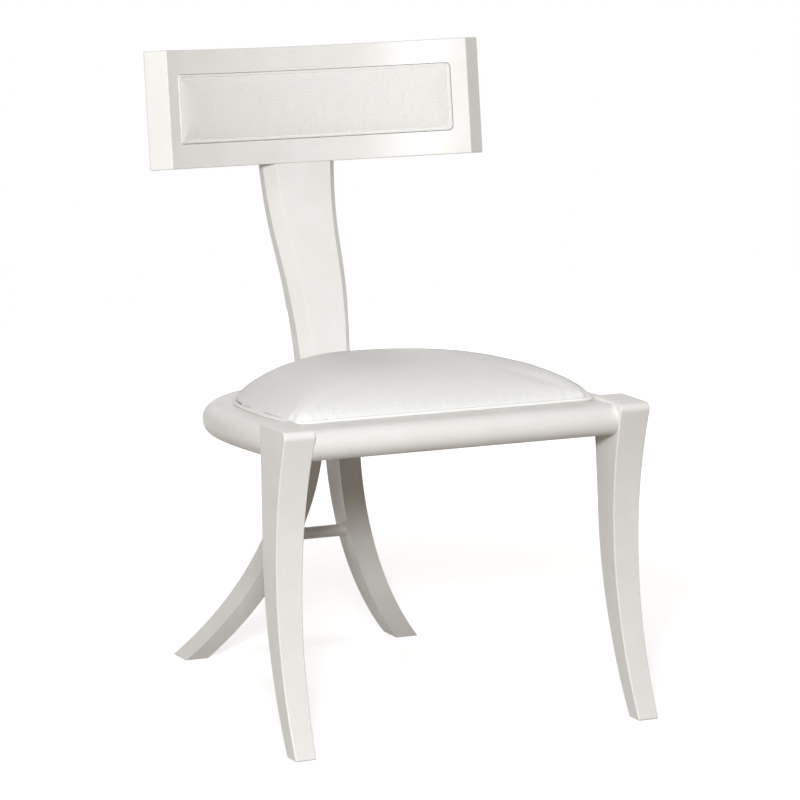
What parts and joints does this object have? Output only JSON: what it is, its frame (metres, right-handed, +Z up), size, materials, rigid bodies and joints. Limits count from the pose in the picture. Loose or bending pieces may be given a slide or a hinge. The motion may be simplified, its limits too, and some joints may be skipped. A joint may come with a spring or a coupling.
{
  "type": "klismos dining chair",
  "caption": "Klismos side chair with sabre legs, a horseshoe seat frame, a domed upholstered seat, an ogee splat and a curved crest rail with a padded panel.",
  "frame": {"origin": "on the floor, under the middle of the chair's overall width and depth", "axes": "+Z up, -Y towards the front where the sitter faces, +X to the right seen from the front"},
  "size_m": [0.5446, 0.6324, 0.8888],
  "materials": {
    "painted_wood": "satin",
    "bare_beech": "matte",
    "plywood": "matte",
    "foam": "matte",
    "upholstery_fabric": "matte",
    "welt_fabric": "matte",
    "dust_cover_cloth": "matte",
    "zinc_steel": "satin"
  },
  "bodies": {
    "root": {"back_cover": "upholstery_fabric", "back_foam": "foam", "back_panel_board": "plywood", "back_panel_screws": "zinc_steel", "back_welt": "welt_fabric", "corner_block_screws": "zinc_steel", "corner_blocks": "bare_beech", "crest_dowels": "bare_beech", "crest_rail": "painted_wood", "crest_screw_plugs": "painted_wood", "front_left_leg": "painted_wood", "front_rail_dowels": "bare_beech", "front_right_leg": "painted_wood", "rear_left_leg": "painted_wood", "rear_leg_dowels": "bare_beech", "rear_rail_dowels": "bare_beech", "rear_right_leg": "painted_wood", "rear_stretcher": "painted_wood", "seat_board": "plywood", "seat_board_screws": "zinc_steel", "seat_cover": "upholstery_fabric", "seat_dust_cover": "dust_cover_cloth", "seat_foam": "foam", "seat_front_rail": "painted_wood", "seat_left_rail": "painted_wood", "seat_rear_rail": "painted_wood", "seat_right_rail": "painted_wood", "seat_welt": "welt_fabric", "side_rail_dowels": "bare_beech", "splat": "painted_wood"}
  },
  "joints": []
}
